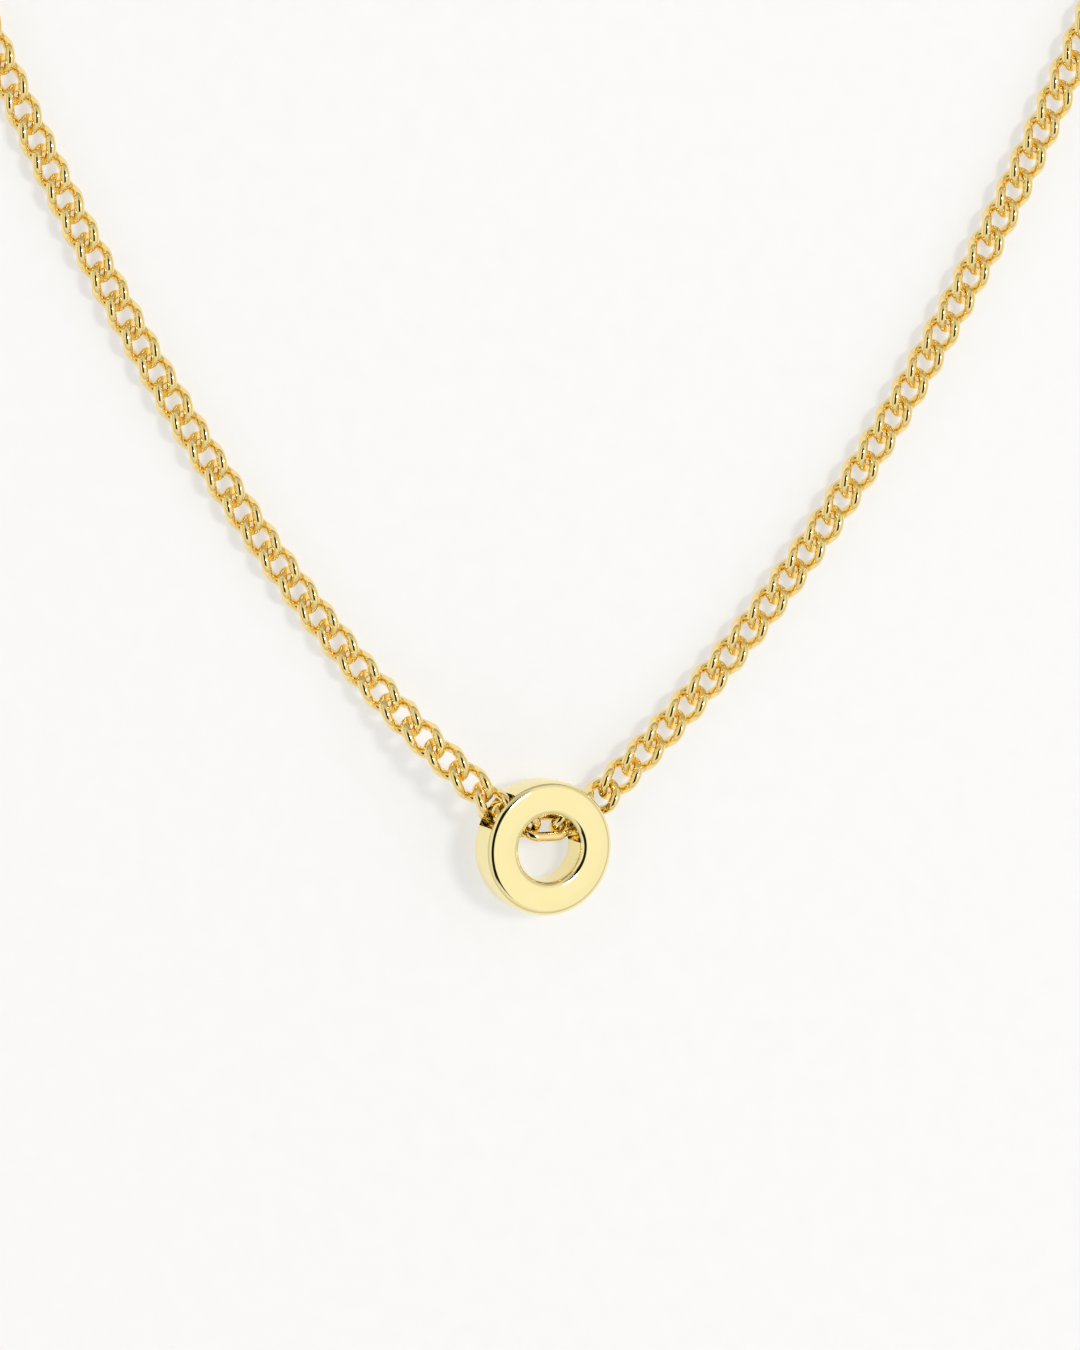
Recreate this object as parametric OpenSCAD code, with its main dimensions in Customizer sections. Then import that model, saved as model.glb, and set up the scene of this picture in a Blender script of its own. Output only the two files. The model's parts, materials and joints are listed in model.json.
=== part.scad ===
// Chain necklace: a twisted-link neck chain laid open on a table, with a thick ring pendant
// threaded on its middle links, a lobster clasp on one end and an extender on the other.
// Millimetres, +Z up. The origin is on the table, straight below the middle of the pendant.

/* [Neck chain] */
// Diameter of the round wire of a link
wire_d = 0.55; // [0.45:0.01:0.57]
// Distance from one link to the next
pitch = 1.79; // [1.75:0.01:2.2]
// Play between the wires of two neighbouring links
link_play = 0.14; // [0.12:0.01:0.2]
// Radius of the wire's middle line round each end of a link
bow_r = 0.7; // [0.66:0.01:0.75]
// Tilt of each end of a link out of the flat, in opposite senses
bow_tilt = 45; // [42:1:48]
// How far each bow's own arc runs to either side of the link's axis
bow_sweep = 56; // [50:1:62]
// Links in one run of chain between two bending points
links_per_run = 7; // [3:1:8]
// Runs of chain on each side of the pendant
runs_per_side = 15; // [4:1:15]
// Steepness of the catenary in which the arms lie: its size at the vertex
catenary_a = 35.8; // [30:0.1:60]
// Length along the catenary from its vertex to where an arm starts
catenary_start = 33; // [30:0.1:60]

/* [Pendant] */
// Outside diameter of the ring
ring_od = 7.5; // [7:0.1:10]
// Diameter of the bore
ring_bore = 3.68; // [3:0.02:4.2]
// Thickness of the ring from front to back
ring_t = 2.2; // [2.1:0.05:3]
// Radius on the ring's edges
ring_edge = 0.42; // [0.2:0.01:0.6]
// Lean of the ring to the right as it lies against its chain
ring_yaw = 14; // [0:1:16]
// Lean of the ring towards its lower edge
ring_nod = 4; // [0:1:8]
// Height of the middle link above the ring's centre, in the ring's own plane
crossing_y = 1.15; // [0.9:0.05:1.3]
// Bend of the chain from link to link inside the ring
crossing_turn = 22.5; // [18:0.5:23]
// Clearance between the chain and the tunnel through the ring
tunnel_play = 0.1; // [0.08:0.01:0.15]

/* [Clasp] */
// Length from the eye's centre to the centre of the hook
clasp_l = 6.3; // [6:0.1:8]
// Outside radius of the hook
hook_ro = 2.4; // [2.3:0.05:2.8]
// Inside radius of the hook
hook_ri = 1.35; // [1.2:0.05:1.5]
// Thickness of the clasp's body
clasp_t = 1.8; // [1.7:0.05:2]
// Width of the body between the eye and the hook
tail_w = 2; // [1.8:0.05:2.2]
// Radius of the wire's middle line in the eye
eye_r = 0.95; // [0.9:0.01:1.05]
// Diameter of the eye's wire
eye_d = 0.44; // [0.4:0.01:0.5]
// Thickness of the lever
lever_t = 0.8; // [0.6:0.05:0.9]
// Clearance between the lever and the body
lever_play = 0.06; // [0.05:0.01:0.1]
// Diameter of the rivet that the lever turns on
rivet_d = 0.5; // [0.4:0.05:0.6]
// Radius of the lever's hub round the rivet
hub_r = 0.5; // [0.45:0.05:0.6]
// Length of the thumb tab from the rivet to the middle of its round end
tab_l = 1.5; // [1.3:0.05:1.6]
// Width of the thumb tab's stem
tab_w = 0.56; // [0.5:0.02:0.6]
// Radius of the thumb tab's round end
tab_r = 0.42; // [0.35:0.01:0.45]
// Radius of the middle line of the spring
spring_r = 0.4; // [0.35:0.01:0.42]
// Diameter of the spring's wire
spring_d = 0.22; // [0.18:0.01:0.24]

/* [Extender] */
// Diameter of the extender's wire
ext_wire_d = 0.6; // [0.5:0.01:0.65]
// Distance from one extender link to the next
ext_pitch = 2.6; // [2.5:0.05:3.2]
// Radius of the wire's middle line round each end of an extender link
ext_bow_r = 0.95; // [0.9:0.01:1.05]
// Links in one run of the extender
ext_links_per_run = 4; // [2:1:5]
// Runs of the extender
ext_runs = 4; // [2:1:5]
// Diameter of the ball at the extender's end
drop_d = 3.2; // [2.5:0.1:4]
// How far the ball is sunk over the wire of its own ring
drop_sink = 0.16; // [0.1:0.02:0.3]
// Radius of the wire's middle line in a jump ring
jump_r = 1; // [0.95:0.01:1.1]

/* [Hidden] */
$fn = 48;
gold = [0.9, 0.72, 0.32];
eps = 0.01;
// Links of the neck chain that lie within the pendant, two on each side of the middle one
crossing_links = 2;

function unit(v) = v / norm(v);
function two_digits(i) = i < 10 ? str("0", i) : str(i);

// ---- the twisted link ----
// Half the length of a link's middle line, which leaves link_play where two bows cross
link_a = (pitch + wire_d + link_play) / 2;
// The link is six arcs in a row: a bow at each end, and two arcs along each side that meet
// at the link's waist. The slope of the wire at the waist is the one that lets a single
// arc run on smoothly into the bow, and it is found by halving.
bow_x = link_a - bow_r;
bow_end = [bow_x + bow_r * cos(bow_sweep), bow_r * sin(bow_sweep) * cos(bow_tilt),
           bow_r * sin(bow_sweep) * sin(bow_tilt)];
bow_end_way = [sin(bow_sweep), -cos(bow_sweep) * cos(bow_tilt), -cos(bow_sweep) * sin(bow_tilt)];
function reach(slope) = bow_end[0] / (cos(slope) + sin(bow_sweep));
function miss(slope) = reach(slope) * (sin(slope) + bow_end_way[2]) - bow_end[2];
function halve(lo, hi, n) = n == 0 ? (lo + hi) / 2
    : miss((lo + hi) / 2) > 0 ? halve(lo, (lo + hi) / 2, n - 1) : halve((lo + hi) / 2, hi, n - 1);
bow_in = [-cos(bow_sweep), -sin(bow_sweep) * cos(bow_tilt), -sin(bow_sweep) * sin(bow_tilt)];
waist_slope = halve(0, 88, 45);
waist = [0, bow_end[1] - reach(waist_slope) * bow_end_way[1], 0];
waist_way = [cos(waist_slope), 0, sin(waist_slope)];
side_turn = acos(waist_way * bow_end_way);
side_r = norm(bow_end - waist) / (2 * sin(side_turn / 2));
side_in = cross(unit(cross(waist_way, bow_end_way)), waist_way);
// Half the height of a link as it lies flat
link_hz = bow_r * sin(bow_tilt) + wire_d / 2;
link_hy = waist[1] + wire_d / 2;

// ---- the pendant's place ----
ring_r = ring_od / 2;
ring_x = [cos(ring_yaw), 0, -sin(ring_yaw)];
ring_y = [sin(ring_yaw) * sin(ring_nod), cos(ring_nod), cos(ring_yaw) * sin(ring_nod)];
ring_z = cross(ring_x, ring_y);
// The ring rests on its rounded lower edge
ring_h = (ring_r - ring_edge) * sqrt(1 - pow(ring_z[2], 2)) + (ring_t / 2 - ring_edge) * ring_z[2]
    + ring_edge;
function in_ring(p) = p[0] * ring_x + p[1] * ring_y + p[2] * ring_z + [0, 0, ring_h];

// ---- the links that cross the pendant ----
// Their centres touch a circle of this radius, whose middle is straight above the bore
crossing_r = pitch / 2 / tan(crossing_turn / 2);
crossing_c = [0, crossing_y + crossing_r, 0];
// Roll of the plain middle link, square to both twisted neighbours
plain_roll = bow_tilt - 90;
plain_bow_r = bow_r + 0.02;
tunnel_ri = crossing_r - link_hy - tunnel_play;
tunnel_ro = pitch / 2 / sin(crossing_turn / 2) + link_hy + tunnel_play;
tunnel_t = 2 * (link_hz + tunnel_play);
// The outer end of the crossing, where an arm of the chain is linked on
crossing_end = (crossing_links + 0.5) * crossing_turn;
crossing_end_r = pitch / 2 / sin(crossing_turn / 2);
function crossing_end_at(s) = in_ring(crossing_c
    + crossing_end_r * [s * sin(crossing_end), -cos(crossing_end), 0]);

// ---- the arms ----
run_l = links_per_run * pitch;
arm_links = links_per_run * runs_per_side;
// An arm comes down from the ring to the table over this length
descent = 6 * pitch;
arm_rest_z = link_hz + eps;
// At its far end it rises to the middle of the jump ring, which leans on its edge
jump_roll = 60;
jump_z = jump_r * sin(jump_roll) + wire_d / 2 + eps;
arm_l = arm_links * pitch;
rise_l = 5 * pitch;
function start_way(s) = s * sin(90 - crossing_end) * ring_x + sin(crossing_end) * ring_y;
function arm_z(s, u) = u >= arm_l - rise_l
    ? let (q = min(1, (u - arm_l + rise_l) / rise_l))
      arm_rest_z + (jump_z - arm_rest_z) * (3 * pow(q, 2) - 2 * pow(q, 3))
    : u >= descent ? arm_rest_z
    : let (q = u / descent, z0 = crossing_end_at(s)[2], m0 = start_way(s)[2])
      z0 * (2 * pow(q, 3) - 3 * pow(q, 2) + 1) + descent * m0 * (pow(q, 3) - 2 * pow(q, 2) + q)
      + arm_rest_z * (3 * pow(q, 2) - 2 * pow(q, 3));
function arm_heading(u) = atan((catenary_start + u) / catenary_a);
function arm_step(s, k) =
    let (rise = arm_z(s, (k + 1) * pitch) - arm_z(s, k * pitch), flat = sqrt(pow(pitch, 2) - pow(rise, 2)),
         h = arm_heading((k + 0.5) * pitch))
    [s * flat * cos(h), flat * sin(h), rise];
// Points where neighbouring links cross, from the pendant outwards
function arm_points(s) =
    [for (k = 0, p = crossing_end_at(s); k <= arm_links; p = p + arm_step(s, k), k = k + 1) p];
arm = [arm_points(-1), arm_points(1)];
function points_of(s) = s < 0 ? arm[0] : arm[1];

// ---- what is linked to the arms' ends ----
function end_of(s) = points_of(s)[arm_links];
function way_of(s) = let (p = points_of(s), w = p[arm_links] - p[arm_links - 1]) unit([w[0], w[1], 0]);
// A ring of wire hangs this far past the point where the wire before it crosses it
function hang(r, d) = r - (d + link_play) / 2;
function past_end(s, u, z) = let (e = end_of(s), w = way_of(s)) [e[0] + w[0] * u, e[1] + w[1] * u, z];
jump_out = hang(jump_r, wire_d);
function jump_at(s) = past_end(s, jump_out, jump_z);
clasp_z = clasp_t / 2 + eps;
// The eye stands a little above the middle of the clasp's body, where the jump ring passes
eye_lift = 0.15;
eye_out = jump_r - wire_d / 2 + eye_r - eye_d / 2 - 2 * link_play;
clasp_at = past_end(-1, jump_out + eye_out, clasp_z);
ext_a = (ext_pitch + ext_wire_d + link_play) / 2;
ext_roll = 45;
ext_z = ext_bow_r * sin(ext_roll) + ext_wire_d / 2 + eps;
ext_out = hang(jump_r, ext_wire_d);
function ext_point(k) = past_end(1, jump_out + ext_out + k * ext_pitch, ext_z);
ext_links = ext_links_per_run * ext_runs;
drop_eye_out = hang(ext_bow_r, ext_wire_d);
drop_at = past_end(1, jump_out + ext_out + ext_links * ext_pitch + drop_eye_out + ext_bow_r
    + drop_d / 2 - drop_sink, drop_d / 2 + eps);

// ---- names ----
left_names = [for (i = [1:runs_per_side]) str("left_run_", two_digits(i))];
right_names = [for (i = [1:runs_per_side]) str("right_run_", two_digits(i))];
ext_names = [for (i = [1:ext_runs]) str("extender_run_", i)];

// Puts what is drawn along +X at a point, with +X along way and +Y kept level
module along(p, way) {
    y = unit(cross([0, 0, 1], way));
    z = cross(way, y);
    multmatrix([[way[0], y[0], z[0], p[0]], [way[1], y[1], z[1], p[1]], [way[2], y[2], z[2], p[2]]])
        children();
}

// An arc of wire that starts at p along way and bends towards inwards
module wire_arc(p, way, inwards, r, angle, d) {
    up = cross(way, inwards);
    multmatrix([[way[0], inwards[0], up[0], p[0]], [way[1], inwards[1], up[1], p[1]],
                [way[2], inwards[2], up[2], p[2]]])
        translate([0, r, 0])
            rotate([0, 0, -90])
                rotate_extrude(angle = angle)
                    translate([r, 0]) circle(d = d);
}

// A link of twisted round wire along X, its +X end tilted up on the +Y side
module twisted_link() {
    for (half = [0, 180], arc = ["bow", "side", "other side"])
        rotate([arc == "other side" ? 180 : 0, 0, half])
            if (arc == "bow")
                wire_arc(bow_end, bow_end_way, bow_in, bow_r, 2 * bow_sweep, wire_d);
            else
                wire_arc(waist, waist_way, side_in, side_r, side_turn, wire_d);
}

// A plain flat oval link along X
module oval_link(half_l, bow, d) {
    straight = half_l - bow;
    for (half = [0, 180]) {
        rotate([0, 0, half]) {
            translate([straight, 0, 0])
                rotate([0, 0, -90])
                    rotate_extrude(angle = 180)
                        translate([bow, 0]) circle(d = d);
            translate([0, bow, 0])
                rotate([0, 90, 0])
                    cylinder(d = d, h = 2 * straight, center = true);
        }
    }
}

module jump_ring(s) {
    along(jump_at(s), way_of(s))
        rotate([s * jump_roll, 0, 0])
            rotate_extrude()
                translate([jump_r, 0]) circle(d = wire_d);
}

// ---- sub-parts ----
module pendant_ring() {
    color(gold)
        translate([0, 0, ring_h])
            rotate([0, ring_yaw, 0])
                rotate([ring_nod, 0, 0])
                    difference() {
                        ring_blank();
                        translate(crossing_c)
                            tunnel();
                    }
}

module rounded_section(w, h, r) {
    square([w, h - 2 * r], center = true);
    square([w - 2 * r, h], center = true);
    for (x = [-1, 1], y = [-1, 1])
        translate([x * (w / 2 - r), y * (h / 2 - r)]) circle(r = r);
}

module ring_blank() {
    wall = (ring_od - ring_bore) / 2;
    rotate_extrude()
        translate([ring_bore / 2 + wall / 2, 0]) rounded_section(wall, ring_t, ring_edge);
}

// The curved passage for the chain, open at both sides of the ring
module tunnel() {
    half_angle = 75;
    rotate([0, 0, -90 - half_angle])
        rotate_extrude(angle = 2 * half_angle)
            translate([(tunnel_ri + tunnel_ro) / 2, 0])
                square([tunnel_ro - tunnel_ri, tunnel_t], center = true);
}

module centre_links() {
    color(gold)
        translate([0, 0, ring_h])
            rotate([0, ring_yaw, 0])
                rotate([ring_nod, 0, 0])
                    for (i = [-crossing_links:crossing_links])
                        translate(crossing_c)
                            rotate([0, 0, i * crossing_turn])
                                translate([0, -crossing_r, 0])
                                    crossing_link(i);
}

module crossing_link(i) {
    if (i == 0)
        rotate([plain_roll, 0, 0]) oval_link(link_a, plain_bow_r, wire_d);
    else if (i < 0)
        twisted_link();
    else
        mirror([0, 1, 0]) twisted_link();
}

// One run of separate links on one side, counted from the pendant
module chain_run(s, run) {
    p = points_of(s);
    color(gold)
        for (k = [(run - 1) * links_per_run:run * links_per_run - 1])
            along((p[k] + p[k + 1]) / 2, unit(p[k + 1] - p[k]))
                if (s < 0) {
                    twisted_link();
                } else {
                    mirror([0, 1, 0]) twisted_link();
                }
}

module extender_run(run) {
    color(gold)
        for (k = [(run - 1) * ext_links_per_run:run * ext_links_per_run - 1])
            along((ext_point(k) + ext_point(k + 1)) / 2, way_of(1))
                rotate([k % 2 == 0 ? -ext_roll : ext_roll, 0, 0])
                    oval_link(ext_a, ext_bow_r, ext_wire_d);
}

// ---- the clasp, drawn along X from its eye, the gate on its +Y side ----
hook_c = [clasp_l, 0];
// The rivet sits in the body, this far from the hook's centre at this angle
pivot_out = 1.9;
pivot_angle = 165;
pivot = hook_c + pivot_out * [cos(pivot_angle), sin(pivot_angle)];
// The gate ends where it meets the hook's tip
gate_tip_angle = 80;
gate_tip = hook_c + hook_ro * [cos(gate_tip_angle), sin(gate_tip_angle)];
gate_reach = norm(gate_tip - pivot);
// The gate starts at the hub, and the body is cut back this far below it
gate_root = 0.1;
gate_under = 0.02;
gap_under = 0.2;
// The thumb tab leans back, and swings within a slot of this size about the rivet
tab_angle = 110;
slot_behind = 1.3;
slot_ahead = 0.9;
spring_at = pivot - [1.5, 0.5];
spring_angle = 300;

module clasp_place() {
    along(clasp_at, way_of(-1)) children();
}

module at_pivot() {
    translate(pivot) children();
}

module clasp_body() {
    color(gold)
        clasp_place()
            difference() {
                clasp_blank();
                translate(hook_c) cylinder(r = hook_ri, h = 2 * clasp_t, center = true);
                gate_gap();
                lever_slot();
                at_pivot() cylinder(d = rivet_d, h = 2 * clasp_t, center = true);
                translate(spring_at) cylinder(r = spring_r + spring_d, h = lever_t, center = true);
            }
}

module clasp_blank() {
    translate(hook_c) cylinder(r = hook_ro, h = clasp_t, center = true);
    translate([eye_r, -tail_w / 2, -clasp_t / 2]) cube([clasp_l - hook_ro, tail_w, clasp_t]);
    translate([0, 0, eye_lift])
        rotate_extrude()
            translate([eye_r, 0]) circle(d = eye_d);
}

// Room for the gate as it swings about the pivot
module gate_gap() {
    intersection() {
        at_pivot() cylinder(r = gate_reach + lever_play, h = 2 * clasp_t, center = true);
        at_pivot() translate([hub_r, -gap_under, -clasp_t]) cube([2 * hook_ro, hook_ro, 2 * clasp_t]);
    }
}

module lever_slot() {
    slot_t = lever_t + 2 * lever_play;
    at_pivot() cylinder(r = hub_r + lever_play, h = slot_t, center = true);
    at_pivot() translate([-slot_behind, 0, -slot_t / 2]) cube([slot_behind + slot_ahead, hook_ro, slot_t]);
}

module clasp_lever() {
    color(gold)
        clasp_place()
            difference() {
                union() {
                    gate();
                    at_pivot() cylinder(r = hub_r, h = lever_t, center = true);
                    at_pivot() thumb_tab();
                }
                at_pivot() cylinder(d = rivet_d + lever_play, h = 2 * lever_t, center = true);
            }
}

module gate() {
    intersection() {
        translate(hook_c)
            difference() {
                cylinder(r = hook_ro, h = lever_t, center = true);
                cylinder(r = hook_ri, h = 2 * lever_t, center = true);
            }
        at_pivot() cylinder(r = gate_reach, h = lever_t, center = true);
        at_pivot() translate([gate_root, -gate_under, -lever_t]) cube([2 * hook_ro, hook_ro, 2 * lever_t]);
    }
}

module thumb_tab() {
    rotate([0, 0, tab_angle]) {
        translate([0, -tab_w / 2, -lever_t / 2]) cube([tab_l, tab_w, lever_t]);
        translate([tab_l, 0, 0]) cylinder(r = tab_r, h = lever_t, center = true);
    }
}

module clasp_rivet() {
    color(gold)
        clasp_place()
            at_pivot() cylinder(d = rivet_d, h = clasp_t, center = true);
}

module clasp_spring() {
    color("silver")
        clasp_place()
            translate(spring_at)
                rotate_extrude(angle = spring_angle)
                    translate([spring_r, 0]) circle(d = spring_d);
}

module end_ball() {
    color(gold) {
        translate(drop_at) sphere(d = drop_d);
        along(ext_point(ext_links) + drop_eye_out * way_of(1), way_of(1))
            rotate([-ext_roll, 0, 0])
                rotate_extrude()
                    translate([ext_bow_r, 0]) circle(d = ext_wire_d);
    }
}

pendant_ring();
centre_links();
for (i = [1:runs_per_side]) chain_run(-1, i);
for (i = [1:runs_per_side]) chain_run(1, i);
color(gold) jump_ring(-1);  // clasp_jump_ring
clasp_body();
clasp_lever();
clasp_rivet();
clasp_spring();
color(gold) jump_ring(1);  // extender_jump_ring
for (i = [1:ext_runs]) extender_run(i);
end_ball();
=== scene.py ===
"""A polished gold chain necklace with a ring pendant, laid open on a pale table."""

import json
import math

import bmesh
import bpy
import numpy as np
from mathutils import Matrix, Vector


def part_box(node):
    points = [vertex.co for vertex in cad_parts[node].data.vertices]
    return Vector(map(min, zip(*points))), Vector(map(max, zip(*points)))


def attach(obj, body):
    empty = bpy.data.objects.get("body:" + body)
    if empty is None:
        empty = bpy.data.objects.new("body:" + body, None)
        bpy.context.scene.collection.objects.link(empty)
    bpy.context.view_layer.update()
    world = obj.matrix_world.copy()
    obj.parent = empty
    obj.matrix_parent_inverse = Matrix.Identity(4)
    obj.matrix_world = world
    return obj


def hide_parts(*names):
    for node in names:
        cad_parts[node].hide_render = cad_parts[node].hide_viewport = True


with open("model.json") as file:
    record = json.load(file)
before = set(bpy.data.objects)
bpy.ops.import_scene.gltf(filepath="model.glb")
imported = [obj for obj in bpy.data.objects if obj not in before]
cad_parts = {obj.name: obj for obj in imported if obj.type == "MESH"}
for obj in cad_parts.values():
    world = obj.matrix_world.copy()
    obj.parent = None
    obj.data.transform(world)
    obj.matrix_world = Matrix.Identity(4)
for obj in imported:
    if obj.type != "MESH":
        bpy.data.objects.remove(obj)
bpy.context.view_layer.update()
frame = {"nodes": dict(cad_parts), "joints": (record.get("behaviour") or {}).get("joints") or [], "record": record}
scene = bpy.context.scene
joints = {joint["name"]: joint for joint in frame["joints"]}
body_of = {node: body for body, nodes in frame["record"]["behaviour"]["bodies"].items() for node in nodes}

MM = 0.001

# ---------------------------------------------------------------- sizes, as the CAD part has them
WIRE_D = 0.55 * MM
PITCH = 1.79 * MM
LINK_PLAY = 0.14 * MM
BOW_R = 0.7 * MM
BOW_TILT = math.radians(45)
BOW_SWEEP = math.radians(56)
RING_R = 3.75 * MM
RING_BORE_R = 1.84 * MM
RING_T = 2.2 * MM
RING_EDGE = 0.42 * MM
TUNNEL_PLAY = 0.1 * MM
TUNNEL_T = 2 * (BOW_R * math.sin(BOW_TILT) + WIRE_D / 2 + TUNNEL_PLAY)
TUNNEL_HALF_ANGLE = math.radians(75)
CROSSING_TURN = math.radians(22.5)

# ---------------------------------------------------------------- detail that the CAD part leaves out
# How far the ring's front face swells at its middle
FACE_DOME = 0.04 * MM
# The wire is thicker by this share at a link's soldered seam, over this many wire diameters
SEAM_SWELL = 0.025
SEAM_LENGTH = 0.25

# ---------------------------------------------------------------- fineness of the meshes
WIRE_SIDES = 16
ARC_STEPS = 10
RING_STEPS = 256
CORNER_STEPS = 14
FACE_STEPS = 24
TUNNEL_STEPS = 96
HALVINGS = 50
# An edge of the pendant that turns more than this stays sharp
SHARP_ANGLE = 32
# Corners of a CAD mesh nearer to each other than this are one corner
SAME_PLACE = 0.001 * MM
# A link whose third moment is below this share of its half extents' product is flat
LEAST_LEAN = 0.02


# ---------------------------------------------------------------- mesh helpers
def new_object(name, vertices, faces, material):
    mesh = bpy.data.meshes.new(name)
    mesh.from_pydata([tuple(v) for v in vertices], [], faces)
    mesh.validate()
    obj = bpy.data.objects.new(name, mesh)
    scene.collection.objects.link(obj)
    mesh.materials.append(material)
    mesh.shade_smooth()
    return obj


def sweep_closed(points, radii, sides=WIRE_SIDES):
    """A round wire along a closed line that runs round the origin."""
    points = np.asarray(points)
    count = len(points)
    tangents = np.roll(points, -1, 0) - np.roll(points, 1, 0)
    tangents /= np.linalg.norm(tangents, axis=1)[:, None]
    outwards = points - (points * tangents).sum(1)[:, None] * tangents
    outwards /= np.linalg.norm(outwards, axis=1)[:, None]
    across = np.cross(tangents, outwards)
    angles = np.arange(sides) * 2 * math.pi / sides
    rings = (points[:, None]
             + radii[:, None, None] * (np.cos(angles)[None, :, None] * outwards[:, None]
                                       + np.sin(angles)[None, :, None] * across[:, None]))
    faces = []
    for i in range(count):
        j = (i + 1) % count
        for k in range(sides):
            m = (k + 1) % sides
            faces.append((i * sides + k, i * sides + m, j * sides + m, j * sides + k))
    return rings.reshape(-1, 3), faces


def joined(parts):
    """One list of vertices and faces from several."""
    vertices, faces, start = [], [], 0
    for part_vertices, part_faces in parts:
        vertices.append(np.asarray(part_vertices))
        faces += [tuple(i + start for i in face) for face in part_faces]
        start += len(part_vertices)
    return np.concatenate(vertices), faces


def islands(node):
    """The separate solids in a CAD node, each as its corner points and its triangles."""
    mesh = frame["nodes"][node].data
    points = np.array([v.co for v in mesh.vertices])
    # The same place in space is one corner, whatever its normal
    cells = np.round(points / SAME_PLACE).astype(np.int64)
    keys, index = np.unique(cells, axis=0, return_inverse=True)
    index = index.reshape(-1)
    parent = list(range(len(keys)))

    def root(i):
        while parent[i] != i:
            parent[i] = parent[parent[i]]
            i = parent[i]
        return i

    mesh.calc_loop_triangles()
    triangles = np.array([index[list(t.vertices)] for t in mesh.loop_triangles])
    for a, b, c in triangles:
        parent[root(a)] = root(b)
        parent[root(c)] = root(b)
    places = np.zeros((len(keys), 3))
    places[index] = points
    groups = {}
    for triangle in triangles:
        groups.setdefault(root(triangle[0]), []).append(triangle)
    found = [places[np.array(group)] for group in groups.values()]
    return sorted(found, key=lambda t: tuple(t.mean((0, 1))))


def own_frame(triangles):
    """Middle, axes from longest to shortest, and half extents of one solid, from its surface."""
    normals = np.cross(triangles[:, 1] - triangles[:, 0], triangles[:, 2] - triangles[:, 0])
    areas = np.linalg.norm(normals, axis=1)
    centres = triangles.mean(1)
    middle = (centres * areas[:, None]).sum(0) / areas.sum()
    moments = np.zeros((3, 3))
    for corner in range(3):
        offset = (triangles[:, corner] + centres) / 2 - middle
        moments += (offset * areas[:, None]).T @ offset
    values, vectors = np.linalg.eigh(moments)
    axes = vectors[:, ::-1].T.copy()
    if np.linalg.det(axes) < 0:
        axes[2] *= -1
    local = (triangles.reshape(-1, 3) - middle) @ axes.T
    weights = np.repeat(areas, 3)
    lean = (local[:, 0] * local[:, 1] * local[:, 2] * weights).sum() / weights.sum()
    half = (local.max(0) - local.min(0)) / 2
    return middle, axes, half, lean


def placed(vertices, middle, axes):
    """Points given in a solid's own frame, in the object's frame."""
    return np.asarray(vertices) @ axes + middle


# ---------------------------------------------------------------- materials
PATCH_SCALE = 700
DRAWN_SCALE = 9000
# Rubbing marks run along Y, so their pattern is stretched that way
MARK_STRETCH = (1, 0.2, 0.6)
MARK_DEPTH = 0.01 * MM
MARK_STRENGTH = 0.02
# The polish varies between these shares of its mean roughness
POLISH_SPREAD = (0.7, 1.7)


def gold_material(name, colour, deep, roughness, grain):
    """Polished gold: deeper colour in slow patches, uneven polish and fine rubbing marks."""
    material = bpy.data.materials.new(name)
    material.use_nodes = True
    nodes, links = material.node_tree.nodes, material.node_tree.links
    shader = nodes["Principled BSDF"]
    shader.inputs["Metallic"].default_value = 1.0
    place = nodes.new("ShaderNodeTexCoord").outputs["Object"]

    patches = nodes.new("ShaderNodeTexNoise")
    patches.inputs["Scale"].default_value = PATCH_SCALE
    patches.inputs["Detail"].default_value = 3
    links.new(place, patches.inputs["Vector"])
    tint = nodes.new("ShaderNodeMix")
    tint.data_type = "RGBA"
    tint.inputs["A"].default_value = (*colour, 1)
    tint.inputs["B"].default_value = (*deep, 1)
    links.new(patches.outputs["Fac"], tint.inputs["Factor"])
    links.new(tint.outputs["Result"], shader.inputs["Base Color"])

    marks = nodes.new("ShaderNodeTexNoise")
    marks.inputs["Scale"].default_value = grain
    marks.inputs["Detail"].default_value = 5
    marks.inputs["Roughness"].default_value = 0.65
    stretch = nodes.new("ShaderNodeMapping")
    stretch.inputs["Scale"].default_value = MARK_STRETCH
    links.new(place, stretch.inputs["Vector"])
    links.new(stretch.outputs["Vector"], marks.inputs["Vector"])
    polish = nodes.new("ShaderNodeMapRange")
    polish.inputs["From Min"].default_value = 0.35
    polish.inputs["From Max"].default_value = 0.7
    polish.inputs["To Min"].default_value = roughness * POLISH_SPREAD[0]
    polish.inputs["To Max"].default_value = roughness * POLISH_SPREAD[1]
    links.new(marks.outputs["Fac"], polish.inputs["Value"])
    links.new(polish.outputs["Result"], shader.inputs["Roughness"])
    bump = nodes.new("ShaderNodeBump")
    bump.inputs["Strength"].default_value = MARK_STRENGTH
    bump.inputs["Distance"].default_value = MARK_DEPTH
    links.new(marks.outputs["Fac"], bump.inputs["Height"])
    links.new(bump.outputs["Normal"], shader.inputs["Normal"])
    return material


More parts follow.
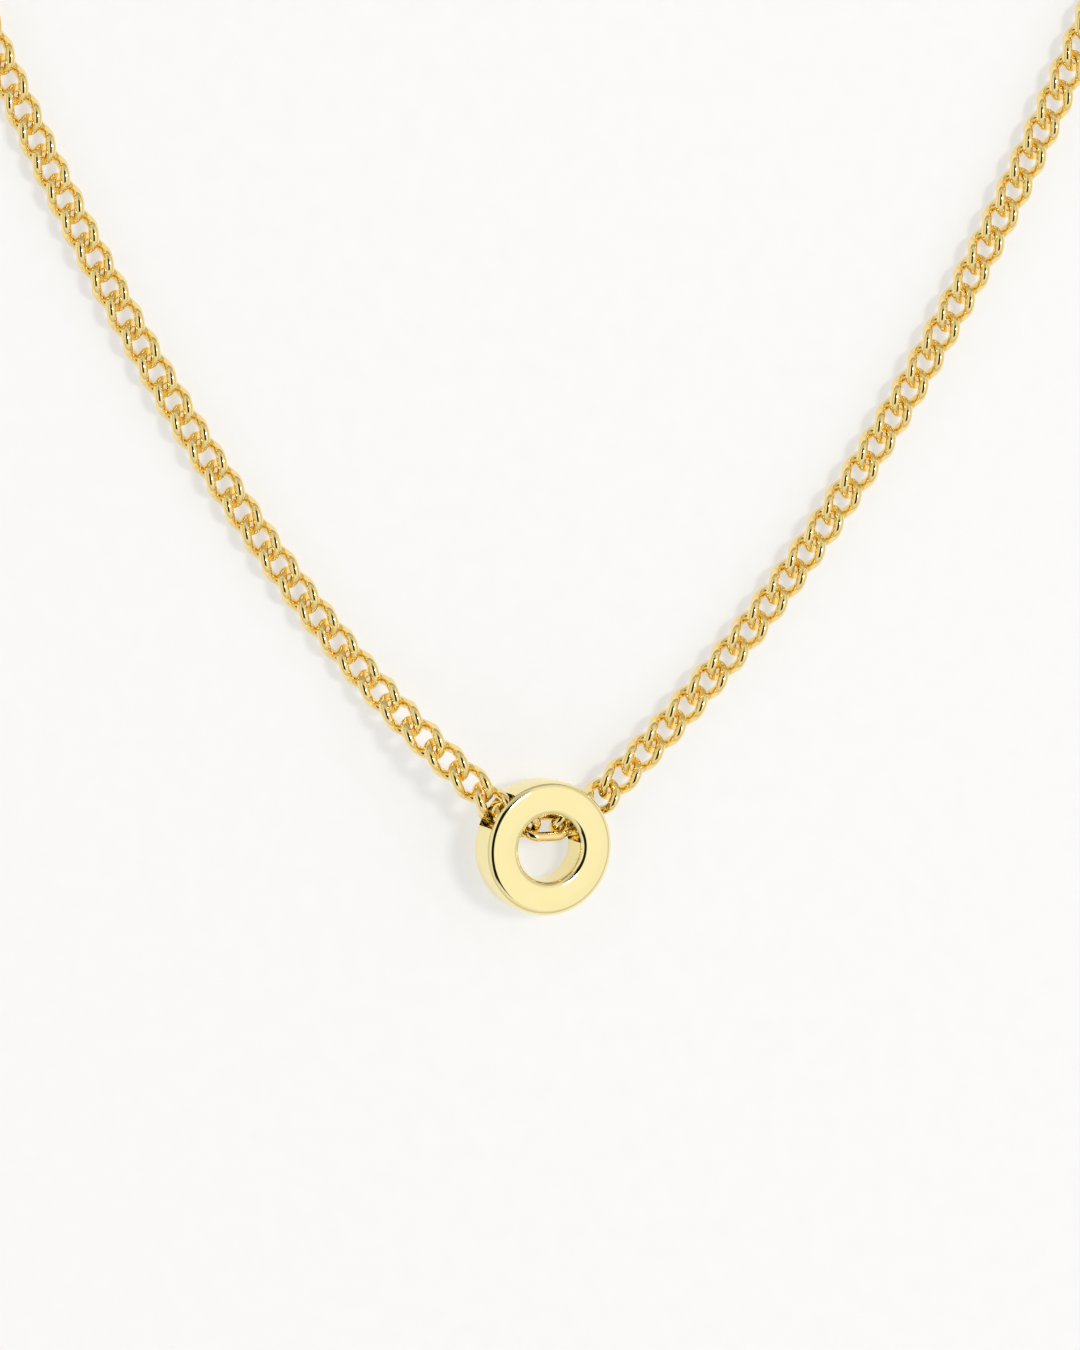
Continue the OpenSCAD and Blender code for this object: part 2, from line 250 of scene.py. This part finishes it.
def steel_material(name):
    """Drawn spring wire with lengthwise grain."""
    material = bpy.data.materials.new(name)
    material.use_nodes = True
    nodes, links = material.node_tree.nodes, material.node_tree.links
    shader = nodes["Principled BSDF"]
    shader.inputs["Metallic"].default_value = 1.0
    grain = nodes.new("ShaderNodeTexNoise")
    grain.inputs["Scale"].default_value = DRAWN_SCALE
    links.new(nodes.new("ShaderNodeTexCoord").outputs["Object"], grain.inputs["Vector"])
    tone = nodes.new("ShaderNodeValToRGB")
    tone.color_ramp.elements[0].color = (0.34, 0.34, 0.36, 1)
    tone.color_ramp.elements[1].color = (0.62, 0.62, 0.63, 1)
    links.new(grain.outputs["Fac"], tone.inputs["Fac"])
    links.new(tone.outputs["Color"], shader.inputs["Base Color"])
    shader.inputs["Roughness"].default_value = 0.3
    return material


chain_gold = gold_material("chain_gold", (0.98, 0.80, 0.38), (0.94, 0.70, 0.26), 0.04, 9000)
pendant_gold = gold_material("pendant_gold", (0.97, 0.86, 0.46), (0.96, 0.83, 0.42), 0.05, 6000)
clasp_gold = gold_material("clasp_gold", (0.98, 0.80, 0.38), (0.95, 0.72, 0.28), 0.07, 7000)
spring_steel = steel_material("spring_steel")


# ---------------------------------------------------------------- the links' middle lines
def arc_points(start, way, inwards, radius, angle, steps):
    """Points along an arc that starts at a point and bends inwards, without its last point."""
    turns = np.linspace(0, angle, steps, endpoint=False)[:, None]
    return start + radius * (np.sin(turns) * way + (1 - np.cos(turns)) * inwards)


def twisted_line():
    """The six arcs of a twisted link: two bows, and two arcs on each side that meet at the waist."""
    half = (PITCH + WIRE_D + LINK_PLAY) / 2
    # Across the link within the bow's tilted plane
    across = np.array([0, math.cos(BOW_TILT), math.sin(BOW_TILT)])
    along = np.array([1, 0, 0])
    cos, sin = math.cos(BOW_SWEEP), math.sin(BOW_SWEEP)
    bow_end = (half - BOW_R + BOW_R * cos) * along + BOW_R * sin * across
    end_way = sin * along - cos * across
    bow_in = -cos * along - sin * across

    def reach(slope):
        return bow_end[0] / (math.cos(slope) + sin)

    low, high = 0.0, math.radians(88)
    for _ in range(HALVINGS):
        slope = (low + high) / 2
        if reach(slope) * (math.sin(slope) + end_way[2]) > bow_end[2]:
            high = slope
        else:
            low = slope
    waist = np.array([0, bow_end[1] - reach(slope) * end_way[1], 0])
    waist_way = np.array([math.cos(slope), 0, math.sin(slope)])
    turn = math.acos(waist_way @ end_way)
    radius = np.linalg.norm(bow_end - waist) / (2 * math.sin(turn / 2))
    up = np.cross(waist_way, end_way)
    side_in = np.cross(up / np.linalg.norm(up), waist_way)
    out = arc_points(waist, waist_way, side_in, radius, turn, ARC_STEPS)
    bow = arc_points(bow_end, end_way, bow_in, BOW_R, 2 * BOW_SWEEP, 2 * ARC_STEPS)
    back = arc_points(waist, waist_way, side_in, radius, turn, ARC_STEPS)[1:][::-1] * [1, -1, -1]
    joint = (bow_end * [1, -1, -1])[None]
    first_half = np.concatenate([out, bow, joint, back])
    return np.concatenate([first_half, first_half * [-1, -1, 1]])


def oval_line(half_length, bow_radius):
    """A flat oval: two half circles and two straight sides."""
    straight = half_length - bow_radius
    turns = np.linspace(-math.pi / 2, math.pi / 2, 3 * ARC_STEPS)
    bow = np.stack([straight + bow_radius * np.cos(turns), bow_radius * np.sin(turns), 0 * turns], 1)
    side = np.linspace(straight, -straight, ARC_STEPS)[1:-1]
    top = np.stack([side, 0 * side + bow_radius, 0 * side], 1)
    half = np.concatenate([bow, top])
    return np.concatenate([half, half * [-1, -1, 1]])


def wire_radii(line, wire_d):
    """The wire's radius along a link, a hair thicker at the soldered seam on one side."""
    seam = line[np.argmax(line[:, 1] - abs(line[:, 0]))]
    away = np.linalg.norm(line - seam, axis=1)
    return wire_d / 2 * (1 + SEAM_SWELL * np.exp(-(away / (SEAM_LENGTH * wire_d)) ** 2))


def link_mesh(triangles):
    """A fine link in the place of one solid of a chain node."""
    middle, axes, half, lean = own_frame(triangles)
    if abs(lean) > LEAST_LEAN * half[0] * half[1] * half[2]:
        line = TWISTED * [1, 1, 1 if lean > 0 else -1]
        wire_d = WIRE_D
    else:
        wire_d = 2 * half[2]
        line = oval_line(half[0] - half[2], half[1] - half[2])
    vertices, faces = sweep_closed(line, wire_radii(line, wire_d))
    return placed(vertices, middle, axes), faces


def ring_mesh(triangles):
    """A fine round ring in the place of one torus."""
    middle, axes, half, _ = own_frame(triangles)
    wire_r = half[2]
    turns = np.arange(6 * ARC_STEPS) * 2 * math.pi / (6 * ARC_STEPS)
    radius = half[0] - wire_r
    line = np.stack([radius * np.cos(turns), radius * np.sin(turns), 0 * turns], 1)
    vertices, faces = sweep_closed(line, wire_radii(line, 2 * wire_r))
    return placed(vertices, middle, axes), faces


TWISTED = twisted_line()


def stand_for(node, obj):
    """Puts a piece in the place of a CAD node, on the same body."""
    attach(obj, body_of[node])
    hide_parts(node)


# ---------------------------------------------------------------- the chain
for node in sorted(frame["nodes"]):
    if "_run_" in node or node == "centre_links":
        vertices, faces = joined([link_mesh(solid) for solid in islands(node)])
        stand_for(node, new_object(node + "_links", vertices, faces, chain_gold))
    elif node.endswith("jump_ring"):
        vertices, faces = joined([ring_mesh(solid) for solid in islands(node)])
        on_clasp = node == "clasp_jump_ring"
        ring = new_object(node + "_wire", vertices, faces, clasp_gold if on_clasp else chain_gold)
        stand_for(node, ring)


# ---------------------------------------------------------------- the pendant
def ring_profile():
    """Radius and height round the ring's section, with a front face that swells a little."""
    inner, outer, half = RING_BORE_R, RING_R, RING_T / 2
    points = []

    def corner(r, z, first):
        for step in range(CORNER_STEPS + 1):
            turn = first + math.pi / 2 * step / CORNER_STEPS
            points.append((r + RING_EDGE * math.cos(turn), z + RING_EDGE * math.sin(turn)))

    corner(outer - RING_EDGE, half - FACE_DOME - RING_EDGE, 0)
    start, stop = outer - RING_EDGE, inner + RING_EDGE
    for step in range(1, FACE_STEPS):
        part = step / FACE_STEPS
        swell = FACE_DOME * math.sin(math.pi * part)
        points.append((start + (stop - start) * part, half - FACE_DOME + swell))
    corner(inner + RING_EDGE, half - FACE_DOME - RING_EDGE, math.pi / 2)
    corner(inner + RING_EDGE, -half + RING_EDGE, math.pi)
    corner(outer - RING_EDGE, -half + RING_EDGE, 3 * math.pi / 2)
    return points


def lathe(profile, steps):
    """A closed profile of radii and heights, turned round Z."""
    vertices, faces = [], []
    count = len(profile)
    for i in range(steps):
        turn = 2 * math.pi * i / steps
        vertices += [(r * math.cos(turn), r * math.sin(turn), z) for r, z in profile]
        j = (i + 1) % steps
        for k in range(count):
            m = (k + 1) % count
            faces.append((i * count + k, j * count + k, j * count + m, i * count + m))
    return vertices, faces


def tunnel_cutter(centre_y, inner, outer):
    """The curved passage that the chain runs through."""
    vertices, faces = [], []
    for i in range(TUNNEL_STEPS + 1):
        turn = -math.pi / 2 + TUNNEL_HALF_ANGLE * (2 * i / TUNNEL_STEPS - 1)
        for r, z in ((inner, -1), (outer, -1), (outer, 1), (inner, 1)):
            vertices.append((r * math.cos(turn), centre_y + r * math.sin(turn), z * TUNNEL_T / 2))
    for i in range(TUNNEL_STEPS):
        for k in range(4):
            m = (k + 1) % 4
            faces.append((4 * i + k, 4 * i + 4 + k, 4 * i + 4 + m, 4 * i + m))
    last = 4 * TUNNEL_STEPS
    faces += [(0, 1, 2, 3), (last + 3, last + 2, last + 1, last)]
    return vertices, faces


def apply_modifiers(obj):
    depsgraph = bpy.context.evaluated_depsgraph_get()
    mesh = bpy.data.meshes.new_from_object(obj.evaluated_get(depsgraph))
    obj.modifiers.clear()
    obj.data = mesh


def sharpen(obj, degrees):
    """Smooth shading, with sharp edges where the faces turn more than this."""
    mesh = bmesh.new()
    mesh.from_mesh(obj.data)
    for edge in mesh.edges:
        edge.smooth = len(edge.link_faces) == 2 and edge.calc_face_angle(0) < math.radians(degrees)
    for face in mesh.faces:
        face.smooth = True
    mesh.to_mesh(obj.data)
    mesh.free()


def fix_normals(obj):
    mesh = bmesh.new()
    mesh.from_mesh(obj.data)
    bmesh.ops.recalc_face_normals(mesh, faces=mesh.faces)
    mesh.to_mesh(obj.data)
    mesh.free()


def build_pendant():
    """The ring, its middle, and the way that its front face looks."""
    slide = joints["pendant_slide"]
    low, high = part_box("pendant_ring")
    centre = Vector((0, 0, (low.z + high.z) / 2))
    z = Vector(slide["axis"]).normalized()
    y = (Vector(slide["pos_m"]) - centre)
    y = (y - y.dot(z) * z)
    centre_y = y.length
    y.normalize()
    x = y.cross(z)
    ring = new_object("pendant", *lathe(ring_profile(), RING_STEPS), pendant_gold)
    fix_normals(ring)
    waist_half = TWISTED[:, 1].max() + WIRE_D / 2 + TUNNEL_PLAY
    inner = PITCH / 2 / math.tan(CROSSING_TURN / 2) - waist_half
    outer = PITCH / 2 / math.sin(CROSSING_TURN / 2) + waist_half
    cutter = new_object("tunnel_cutter", *tunnel_cutter(centre_y, inner, outer), pendant_gold)
    fix_normals(cutter)
    cut = ring.modifiers.new("tunnel", "BOOLEAN")
    cut.operation = "DIFFERENCE"
    cut.solver = "EXACT"
    cut.object = cutter
    apply_modifiers(ring)
    bpy.data.objects.remove(cutter)
    placing = Matrix.Translation(centre) @ Matrix((x, y, z)).transposed().to_4x4()
    ring.data.transform(placing)
    sharpen(ring, SHARP_ANGLE)
    return ring, centre, z


pendant, pendant_centre, pendant_way = build_pendant()
stand_for("pendant_ring", pendant)

# ---------------------------------------------------------------- the clasp and the extender's end
for node, material in (("clasp_body", clasp_gold), ("clasp_lever", clasp_gold), ("clasp_rivet", clasp_gold),
                       ("clasp_spring", spring_steel), ("end_ball", chain_gold)):
    obj = frame["nodes"][node]
    obj.data.materials.clear()
    obj.data.materials.append(material)


# ---------------------------------------------------------------- the table
TABLE_GLOW = 1.04


def paper_material():
    """Pale matt paper that glows a little, as an overexposed backdrop does."""
    material = bpy.data.materials.new("table_paper")
    material.use_nodes = True
    nodes, links = material.node_tree.nodes, material.node_tree.links
    shader = nodes["Principled BSDF"]
    shader.inputs["Roughness"].default_value = 0.9
    fibres = nodes.new("ShaderNodeTexNoise")
    fibres.inputs["Scale"].default_value = 900
    links.new(nodes.new("ShaderNodeTexCoord").outputs["Object"], fibres.inputs["Vector"])
    tone = nodes.new("ShaderNodeValToRGB")
    tone.color_ramp.elements[0].color = (0.49, 0.49, 0.49, 1)
    tone.color_ramp.elements[1].color = (0.51, 0.51, 0.51, 1)
    links.new(fibres.outputs["Fac"], tone.inputs["Fac"])
    links.new(tone.outputs["Color"], shader.inputs["Base Color"])
    links.new(tone.outputs["Color"], shader.inputs["Emission Color"])
    shader.inputs["Emission Strength"].default_value = TABLE_GLOW
    return material


FLOOR_HALF = 3.0
floor = new_object("table", [(-FLOOR_HALF, -FLOOR_HALF, 0), (FLOOR_HALF, -FLOOR_HALF, 0),
                             (FLOOR_HALF, FLOOR_HALF, 0), (-FLOOR_HALF, FLOOR_HALF, 0)],
                   [(0, 1, 2, 3)], paper_material())

# ---------------------------------------------------------------- camera
VIEW_HEIGHT = 74.4 * MM
CAMERA_AWAY = 0.5
CAMERA_YAW = math.radians(-10)
CAMERA_NOD = math.radians(3.6)
PENDANT_BELOW = 9.46 * MM
PENDANT_RIGHT = 0.18 * MM

towards_camera = Vector((math.sin(CAMERA_YAW) * math.cos(CAMERA_NOD), math.sin(CAMERA_NOD),
                         math.cos(CAMERA_YAW) * math.cos(CAMERA_NOD)))
camera_right = Vector((0, 1, 0)).cross(towards_camera).normalized()
camera_up = towards_camera.cross(camera_right)
camera_data = bpy.data.cameras.new("camera")
camera_data.sensor_fit = "VERTICAL"
camera_data.sensor_height = 24
camera_data.lens = 24 * CAMERA_AWAY / VIEW_HEIGHT
camera_data.clip_start = 0.01
camera = bpy.data.objects.new("camera", camera_data)
scene.collection.objects.link(camera)
target = pendant_centre + camera_up * PENDANT_BELOW - camera_right * PENDANT_RIGHT
turn = Matrix((camera_right, camera_up, towards_camera)).transposed().to_4x4()
camera.matrix_world = Matrix.Translation(target + towards_camera * CAMERA_AWAY) @ turn
scene.camera = camera


# ---------------------------------------------------------------- light
def area_light(name, place, aim, size, power, colour):
    data = bpy.data.lights.new(name, "AREA")
    data.shape = "DISK"
    data.size = size
    data.energy = power
    data.color = colour
    light = bpy.data.objects.new(name, data)
    light.location = place
    light.rotation_euler = (Vector(place) - Vector(aim)).to_track_quat("Z", "Y").to_euler()
    scene.collection.objects.link(light)


area_light("key", (0.32, 0.10, 0.75), (0, 0.03, 0), 0.16, 1.8, (1, 0.97, 0.93))


# The tent's brightness near the table and overhead, and what the panel on the right adds to it
TENT = (0.58, 0.90)
PANEL = 0.13
PANEL_HALF_ANGLE = math.radians(40)
# The tent has an upright opening high up, in front of the camera, and is dimmer low on the far side.
# Each limit is a direction's share along the camera's right, along its up, or back towards it.
# The opening's middle and half width, along the camera's right
GAP_MIDDLE = 0.04
GAP_HALF = 0.33
# The opening's lower end and the height above which it is only partly dark, along the camera's up
GAP_FOOT = -0.68
GAP_HEAD = 0.46
GAP_HEAD_DARK = 0.45
# The opening ends where directions turn away from the camera
GAP_LOW = 0.62
# The dimmer far side: how far up it starts, where it ends overhead, and its darkness
FAR_UP = 0.72
FAR_TOP = 0.5
FAR_DARK = 0.3
# How dark the opening is, from 0 to 1
DARKNESS = 0.985


def studio_world():
    """A white tent with a bright panel, and dark openings that polished metal shows as thin lines."""
    world = bpy.data.worlds.new("studio")
    scene.world = world
    world.use_nodes = True
    nodes, links = world.node_tree.nodes, world.node_tree.links
    nodes.clear()
    way = nodes.new("ShaderNodeTexCoord").outputs["Generated"]

    def maths(kind, a, b=None):
        node = nodes.new("ShaderNodeMath")
        node.operation = kind
        for socket, value in zip(node.inputs, (a, b)):
            if value is None:
                continue
            if isinstance(value, (int, float)):
                socket.default_value = value
            else:
                links.new(value, socket)
        return node.outputs[0]

    def closeness(direction):
        node = nodes.new("ShaderNodeVectorMath")
        node.operation = "DOT_PRODUCT"
        node.inputs[1].default_value = Vector(direction).normalized()
        links.new(way, node.inputs[0])
        return node.outputs["Value"]

    def ramp(value, low, high, from_value, to_value):
        node = nodes.new("ShaderNodeMapRange")
        node.interpolation_type = "SMOOTHSTEP"
        node.inputs["From Min"].default_value = low
        node.inputs["From Max"].default_value = high
        node.inputs["To Min"].default_value = from_value
        node.inputs["To Max"].default_value = to_value
        links.new(value, node.inputs["Value"])
        return node.outputs["Result"]

    # Where a direction points, as the camera sees it: to its right, up, and back towards it
    right, up, back = closeness(camera_right), closeness(camera_up), closeness(towards_camera)
    off_middle = maths("ABSOLUTE", maths("SUBTRACT", right, GAP_MIDDLE))
    across_gap = maths("MULTIPLY", ramp(off_middle, GAP_HALF - 0.02, GAP_HALF + 0.02, 1, 0),
                       ramp(up, GAP_FOOT - 0.04, GAP_FOOT + 0.04, 0, 1))
    overhead = maths("MULTIPLY", ramp(back, GAP_LOW - 0.05, GAP_LOW + 0.05, 0, 1),
                     ramp(up, GAP_HEAD - 0.05, GAP_HEAD + 0.05, 1, GAP_HEAD_DARK))
    gap = maths("MULTIPLY", across_gap, overhead)
    far_side = maths("MULTIPLY", ramp(up, FAR_UP - 0.03, FAR_UP + 0.03, 0, FAR_DARK),
                     ramp(back, FAR_TOP - 0.04, FAR_TOP + 0.04, 1, 0))
    dark = maths("MAXIMUM", gap, far_side)
    seen_in_face = 2 * pendant_way.dot(towards_camera) * pendant_way - towards_camera
    tent = ramp(closeness((0, 0, 1)), -0.1, 0.8, *TENT)
    panel = ramp(closeness(seen_in_face), math.cos(PANEL_HALF_ANGLE), 1, 0, PANEL)
    let_through = maths("SUBTRACT", 1, maths("MULTIPLY", dark, DARKNESS))
    light = maths("MULTIPLY", maths("ADD", tent, panel), let_through)
    background = nodes.new("ShaderNodeBackground")
    links.new(light, background.inputs["Strength"])
    background.inputs["Color"].default_value = (1, 0.99, 0.97, 1)
    out = nodes.new("ShaderNodeOutputWorld")
    links.new(background.outputs[0], out.inputs["Surface"])


studio_world()
scene.view_settings.view_transform = "Standard"
scene.view_settings.look = "None"
